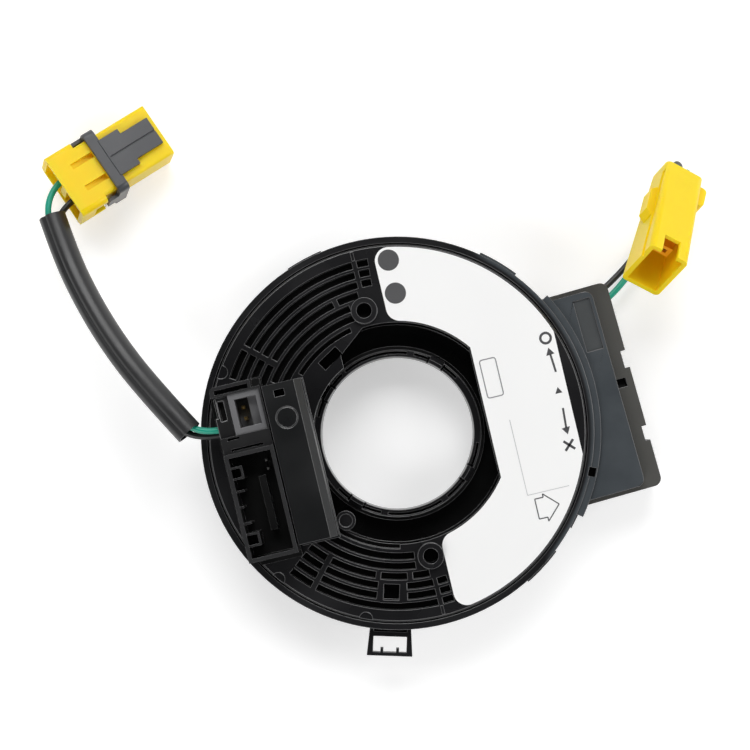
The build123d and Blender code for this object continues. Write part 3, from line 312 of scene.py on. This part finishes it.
# Painted shade: the plate's colour darkens below its top towards the bottom of the grooves.
plate_black = moulded(
    "plate_black_acetal", (0.010, 0.010, 0.011), 0.26, grain=700.0, depth=0.02, shine=0.35,
    floor=(PLATE_TOP - 1.6 * MM, PLATE_TOP - 0.2 * MM),
)
# Painted highlight: a lighter grey on the plate's rounded rib edges, for the light they catch.
plate_edge_highlight = moulded("plate_painted_edge_highlight", (0.11, 0.11, 0.112), 0.24, grain=700.0, depth=0.02)
round_edges(dress("rotor_plate", plate_black), 0.10, plate_edge_highlight, clamp=False)
dress("inner_anchor", plate_black)


# Bore sleeve: the thin black acetal ring that forms the bore. Its claws snap into the plate
# from below and hold the two halves together.
sleeve_black = moulded(
    "sleeve_black_acetal", (0.010, 0.010, 0.011), 0.22, grain=700.0, depth=0.01
)
# The sleeve's rounded edges carry the plate's painted highlight.
round_edges(dress("rotor_sleeve", sleeve_black), 0.08, plate_edge_highlight, clamp=False)


# Connector block: the black sockets for the switch plug and the airbag plug, standing on the
# plate's left side, with the small connector body that the left lead leaves from.
BLOCK_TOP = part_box("connector_block")[1][2]
# Painted shade: the block's colour darkens below its top towards the bottom of the sockets.
block_black = moulded(
    "block_black", (0.024, 0.024, 0.025), 0.30, grain=800.0, depth=0.03, shine=0.45,
    floor=(BLOCK_TOP - 4.0 * MM, BLOCK_TOP - 0.3 * MM),
)
# Painted highlight: a lighter grey on the block's rounded edges, for the light they catch.
block_edge_highlight = moulded("block_painted_edge_highlight", (0.14, 0.14, 0.143), 0.24, grain=800.0, depth=0.03)
round_edges(dress("connector_block", block_black), 0.16, block_edge_highlight)
round_edges(dress("lead_holder", block_black), 0.16, block_edge_highlight)
dress("switch_pins", tinned)


# Lid: the satin black nylon cover with bevelled sides that is welded over the terminals of
# the connector block.
lid_black = moulded("lid_black", (0.008, 0.0085, 0.009), 0.34, shine=0.4)
# The lid's bevelled sides carry the plate's painted highlight.
round_edges(dress("block_cover", lid_black), 0.25, plate_edge_highlight)


# Small socket: a pale grey nylon frame that snaps into the block and codes the airbag plug,
# round two gold plated pins.
collar_grey = moulded("collar_grey", (0.13, 0.13, 0.135), 0.40)
round_edges(dress("airbag_collar", collar_grey), 0.12)
gold = plated("gold_plate", (0.86, 0.62, 0.24), 0.24)
dress("airbag_pins", gold)


# Label: a white crescent of coated paper stuck on the plate. Its plain marks are printed in
# grey: a ring, two arrows, a cross, two dots and bare outlines, each a hair of ink thick.
label_paper = moulded(
    "label_paper", (0.93, 0.93, 0.925), 0.5, grain=2500.0, depth=0.01, tone=0.01, speck=0.05
)
dress("label", label_paper)
INK_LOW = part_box("label")[1][2] + 0.008 * MM
INK_THICK = 0.02 * MM
HAIR_STROKE = 0.2
THIN_STROKE = 0.3
SHAFT_STROKE = 0.55
HEAVY_STROKE = 0.65
HEAD_R = 1.3
DOT_R = 2.8
BOX_SIZE = (4.6, 10.5)
BOX_CORNER = 0.8
print_grey = moulded("print_grey", (0.062, 0.062, 0.066), 0.5, grain=1800.0, depth=0.005)
dot_grey = moulded("dot_grey", (0.072, 0.072, 0.075), 0.5, grain=1800.0, depth=0.005)
faint_grey = moulded("faint_grey", (0.55, 0.55, 0.56), 0.5, grain=1800.0, depth=0.005)
outline_grey = moulded("outline_grey", (0.28, 0.28, 0.29), 0.5, grain=1800.0, depth=0.005)


def ink_bar(start, end, width):
    """One straight printed stroke between two places on the label, in mm."""
    deselect()
    run = Vector(end) - Vector(start)
    middle = (Vector(end) + Vector(start)) / 2 * MM
    bpy.ops.mesh.primitive_plane_add(size=MM, location=(middle.x, middle.y, INK_LOW))
    bar = bpy.context.object
    bar.scale = (run.length, width, 1)
    bar.rotation_euler = (0, 0, math.atan2(run.y, run.x))
    bpy.ops.object.transform_apply(location=True, rotation=True, scale=True)
    return bar


def ink_disc(centre, radius, corners=48, turn=0.0):
    """One round or three-cornered spot of ink."""
    deselect()
    place = (centre[0] * MM, centre[1] * MM, INK_LOW)
    bpy.ops.mesh.primitive_circle_add(
        vertices=corners, radius=radius * MM, fill_type="NGON", location=place
    )
    spot = bpy.context.object
    spot.rotation_euler = (0, 0, math.radians(turn))
    bpy.ops.object.transform_apply(location=True, rotation=True, scale=True)
    return spot


def leave_outline(spot, line):
    """Takes the inside out of a spot and leaves its printed outline."""
    bpy.ops.object.mode_set(mode="EDIT")
    bpy.ops.mesh.select_all(action="SELECT")
    bpy.ops.mesh.inset(thickness=line * MM)
    bpy.ops.mesh.delete(type="FACE")
    bpy.ops.object.mode_set(mode="OBJECT")
    return spot


def print_mark(name, strokes, ink):
    """Joins the strokes of one mark and gives the ink its thickness."""
    deselect()
    for stroke in strokes:
        stroke.select_set(True)
    bpy.context.view_layer.objects.active = strokes[0]
    if len(strokes) > 1:
        bpy.ops.object.join()
    mark = bpy.context.object
    mark.name = name
    build_up = mark.modifiers.new("ink", "SOLIDIFY")
    build_up.thickness = INK_THICK
    build_up.offset = 1.0
    bpy.ops.object.modifier_apply(modifier="ink")
    mark.data.materials.append(ink)
    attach(mark, "rotor")


print_mark(
    "mark_ring", [leave_outline(ink_disc((43.8, 15.4), 1.7), HEAVY_STROKE)], print_grey
)
print_mark(
    "mark_arrow_up",
    [ink_bar((44.4, 6.1), (44.05, 11.0), SHAFT_STROKE), ink_disc((44.0, 11.5), HEAD_R, 3, 4.0)],
    print_grey,
)
print_mark("mark_triangle", [ink_disc((43.9, 1.0), 1.1, 3)], print_grey)
print_mark(
    "mark_arrow_down",
    [
        ink_bar((44.0, -3.6), (43.65, -8.9), SHAFT_STROKE),
        ink_disc((43.6, -9.4), HEAD_R, 3, 184.0),
    ],
    print_grey,
)
print_mark(
    "mark_cross",
    [
        ink_bar((42.1, -14.8), (44.7, -12.2), HEAVY_STROKE),
        ink_bar((42.1, -12.2), (44.7, -14.8), HEAVY_STROKE),
    ],
    print_grey,
)
print_mark("mark_dot_high", [ink_disc((8.2, 45.0), DOT_R)], dot_grey)
print_mark("mark_dot_low", [ink_disc((8.0, 36.1), DOT_R)], dot_grey)
print_mark(
    "mark_corner_line",
    [
        ink_bar((29.6, -3.4), (29.6, -23.9), HAIR_STROKE),
        ink_bar((29.6, -23.9), (40.9, -23.9), HAIR_STROKE),
    ],
    faint_grey,
)
house_corners = (
    (31.2, -30.7), (31.2, -25.3), (33.5, -25.3), (33.5, -24.4),
    (37.2, -28.0), (33.5, -31.8), (33.5, -30.7), (31.2, -30.7),
)
house_sides = [ink_bar(a, b, THIN_STROKE) for a, b in zip(house_corners, house_corners[1:])]
print_mark("mark_house_arrow", house_sides, dot_grey)
deselect()
bpy.ops.mesh.primitive_plane_add(size=MM, location=(27.5 * MM, 8.5 * MM, INK_LOW))
bare_box = bpy.context.object
bare_box.scale = (*BOX_SIZE, 1)
bpy.ops.object.transform_apply(location=True, rotation=True, scale=True)
bpy.ops.object.mode_set(mode="EDIT")
bpy.ops.mesh.select_all(action="SELECT")
bpy.ops.mesh.bevel(offset=BOX_CORNER * MM, segments=5, affect="VERTICES")
bpy.ops.object.mode_set(mode="OBJECT")
print_mark("mark_bare_box", [leave_outline(bare_box, THIN_STROKE)], outline_grey)


# Left lead: a green and a black wire leave the holder, run through a soft black vinyl tube
# that has creased along its length, and come out again just before the plug.
WIRE_R = 0.85
TUBE_R = 3.6
TUBE_WALL = 0.6
CREASE_DEPTH = 0.45
CREASE_AT = 115.0
CREASE_SPREAD = 9.0
SECTION_STEP = 5


def lead_line(name, route):
    """A cord's own line through its route, with no thickness yet."""
    data = bpy.data.curves.new(name, "CURVE")
    data.dimensions = "3D"
    spline = data.splines.new("NURBS")
    spline.points.add(len(route) - 1)
    for point, (x, y, z) in zip(spline.points, route):
        point.co = (x, y, z, 1)
    spline.order_u = 3
    spline.use_endpoint_u = True
    spline.resolution_u = 24
    line = bpy.data.objects.new(name, data)
    bpy.context.scene.collection.objects.link(line)
    return line


def wire(name, route, finish, body, node):
    """One insulated wire along its route, in the place of the wire from the CAD."""
    piece = lead_line(name, route)
    piece.data.bevel_depth = WIRE_R * MM
    piece.data.bevel_resolution = 6
    piece.data.use_fill_caps = True
    piece.data.materials.append(finish)
    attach(piece, body)
    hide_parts(node)
    return piece


def turn_outwards():
    """Points the faces of the active mesh outwards."""
    bpy.ops.object.mode_set(mode="EDIT")
    bpy.ops.mesh.select_all(action="SELECT")
    bpy.ops.mesh.normals_make_consistent(inside=False)
    bpy.ops.object.mode_set(mode="OBJECT")


def tube_section():
    """The round section of the tube, dented where the crease runs."""
    data = bpy.data.curves.new("tube_section", "CURVE")
    data.dimensions = "2D"
    ring = data.splines.new("POLY")
    ring.points.add(360 // SECTION_STEP - 1)
    ring.use_cyclic_u = True
    for step, point in enumerate(ring.points):
        turn = SECTION_STEP * step
        dent = CREASE_DEPTH * math.exp(-(((turn - CREASE_AT) / CREASE_SPREAD) ** 2))
        reach = (TUBE_R - dent) * MM
        turn = math.radians(turn)
        point.co = (reach * math.cos(turn), reach * math.sin(turn), 0, 1)
    section = bpy.data.objects.new("tube_section", data)
    bpy.context.scene.collection.objects.link(section)
    return section


green_skin = moulded("green_insulation", (0.0, 0.33, 0.22), 0.35, grain=500.0)
black_skin = moulded("black_insulation", (0.012, 0.012, 0.013), 0.35, grain=500.0)
short_wires = [
    wire(
        "holder_green_wire",
        ((-0.0427, 0.0114, 0.0276), (-0.0506, 0.0114, 0.0276), (-0.0533, 0.0154, 0.0275)),
        green_skin, "rotor", "rotor_green_wire",
    ),
    wire(
        "holder_black_wire",
        ((-0.0427, 0.0102, 0.0252), (-0.0524, 0.0102, 0.0252), (-0.0549, 0.0142, 0.0256)),
        black_skin, "rotor", "rotor_black_wire",
    ),
    wire(
        "tube_end_green_wire",
        ((-0.0772, 0.0753, 0.0150), (-0.07792, 0.08456, 0.01454), (-0.06836, 0.08823, 0.0118)),
        green_skin, "rotor", "plug_green_wire",
    ),
    wire(
        "tube_end_black_wire",
        ((-0.0755, 0.0753, 0.0136), (-0.07408, 0.0794, 0.01408), (-0.06614, 0.08245, 0.0118)),
        black_skin, "rotor", "plug_black_wire",
    ),
]

tube_route = (
    (-0.0529, 0.0127, 0.0270),
    (-0.0614, 0.0276, 0.0259),
    (-0.0678, 0.0416, 0.0228),
    (-0.0722, 0.0546, 0.0188),
    (-0.0750, 0.0664, 0.0158),
    (-0.0763, 0.0776, 0.0144),
)
tube = lead_line("lead_tube_skin", tube_route)
bare_line = bpy.data.meshes.new_from_object(tube)
section = tube_section()
tube.data.bevel_mode = "OBJECT"
tube.data.bevel_object = section
deselect()
tube.select_set(True)
bpy.context.view_layer.objects.active = tube
bpy.ops.object.convert(target="MESH")
tube = bpy.context.object
bpy.data.objects.remove(section)
turn_outwards()
wall = tube.modifiers.new("wall", "SOLIDIFY")
wall.thickness = TUBE_WALL * MM
wall.offset = -1.0
bpy.ops.object.modifier_apply(modifier="wall")
bpy.ops.object.shade_smooth_by_angle(angle=math.radians(40))
vinyl = moulded("tube_black_vinyl", (0.024, 0.024, 0.025), 0.36, grain=350.0, depth=0.06)
tube.data.materials.append(vinyl)
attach(tube, "rotor")
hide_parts("lead_tube")


# Left plug: yellow polyester airbag plug with its grooves and wire holes, two gold contacts,
# and the spring clip that shorts them while the plug is out of its socket.
plug_yellow = moulded(
    "plug_yellow", (0.98, 0.66, 0.006), 0.38, grain=650.0, depth=0.02, tone=0.05, shine=0.3
)
through = plug_yellow.node_tree.nodes["Principled BSDF"]
through.inputs["Subsurface Weight"].default_value = 0.5
through.inputs["Subsurface Radius"].default_value = (1.0, 0.55, 0.04)
through.inputs["Subsurface Scale"].default_value = 0.004
round_edges(dress("left_plug", plug_yellow), 0.3)
dress("left_plug_contacts", gold)
dress("shorting_clip", tinned)


# Lock sleeve: the dark grey slider on the left plug, moulded in one from glass filled nylon.
# It is snapped over the housing and slides back along it by 3.2 mm.
sleeve_grey = moulded("sleeve_grey", (0.060, 0.062, 0.068), 0.36)
round_edges(dress("lock_sleeve", sleeve_grey), 0.25)


# Sleeve springs: two coils of steel wire that sit in the housing's pockets and push the
# sleeve shut. They are wound along the slide at one fixed length; the real springs shorten
# as the sleeve goes back.
SLIDE_WAY = Vector((0.901769, 0.346157, -0.258819))
COIL_R = 0.5 * MM
COIL_WIRE_R = 0.14 * MM
COIL_TURNS = 3
COIL_STEPS = 32


def wind_coil(name, length):
    """A coil that stands on the origin, with the middle of its wire's first end on it."""
    deselect()
    bpy.ops.mesh.primitive_circle_add(
        vertices=10, radius=COIL_WIRE_R, location=(COIL_R, 0, 0), rotation=(math.pi / 2, 0, 0)
    )
    coil = bpy.context.object
    coil.name = name
    bpy.ops.object.transform_apply(location=True, rotation=True, scale=True)
    winding = coil.modifiers.new("wind", "SCREW")
    winding.screw_offset = (length - 2 * COIL_WIRE_R) / COIL_TURNS
    winding.iterations = COIL_TURNS
    winding.steps = COIL_STEPS
    winding.render_steps = COIL_STEPS
    bpy.ops.object.modifier_apply(modifier="wind")
    return coil


spring_steel = plated("spring_steel", (0.60, 0.60, 0.61), 0.25)
for side in ("left", "right"):
    node = "lock_spring_" + side
    lowest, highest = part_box(node)
    reach = [vertex.co.dot(SLIDE_WAY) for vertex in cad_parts[node].data.vertices]
    free = max(reach) - min(reach)
    middle = (Vector(lowest) + Vector(highest)) / 2
    middle += SLIDE_WAY * ((max(reach) + min(reach)) / 2 - middle.dot(SLIDE_WAY))
    seat = middle - SLIDE_WAY * (free / 2)
    coil = wind_coil("sleeve_coil_" + side, free)
    coil.location = seat + SLIDE_WAY * COIL_WIRE_R
    coil.rotation_euler = SLIDE_WAY.to_track_quat("Z", "Y").to_euler()
    bpy.ops.object.transform_apply(location=True, rotation=True, scale=True)
    turn_outwards()
    bpy.ops.object.shade_smooth_by_angle(angle=math.radians(60))
    coil.data.materials.append(spring_steel)
    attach(coil, "rotor")
    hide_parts(node)
    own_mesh(coil)


# Right plug: the second yellow polyester airbag plug. It rests on its rear end with the open
# mouth tipped up at the reel, and an orange carrier pressed into it holds its gold contacts.
carrier_orange = moulded("carrier_orange", (0.90, 0.40, 0.008), 0.35, tone=0.05)
round_edges(dress("right_plug", plug_yellow), 0.3)
dress("right_plug_carrier", carrier_orange)
dress("right_plug_contacts", gold)


# Right lead: its green and black wires come out under the side box, lie on the bench and
# turn up into the back of the right plug. Each is copper in soft insulation.
green_route = (
    (0.05432, 0.01979, 0.0052), (0.06121, 0.02008, 0.0052), (0.0738, 0.0293, 0.0042),
    (0.0825, 0.0382, 0.0022), (0.0884, 0.0444, 0.0012), (0.0928, 0.0494, 0.0013),
    (0.09298, 0.05170, 0.00594), (0.08940, 0.04582, 0.01094),
)
black_route = (
    (0.05421, 0.02249, 0.0034), (0.05960, 0.02272, 0.0034), (0.0736, 0.0313, 0.0016),
    (0.0802, 0.0388, 0.0011), (0.0862, 0.0450, 0.0010), (0.0902, 0.0498, 0.0012),
    (0.0918, 0.0530, 0.0032), (0.08955, 0.05389, 0.00714), (0.08623, 0.04845, 0.01176),
)
for colour, route, skin in (
    ("green", green_route, green_skin), ("black", black_route, black_skin)
):
    node = "right_" + colour + "_wire"
    wire(node + "_skin", route, skin, "stator", node)
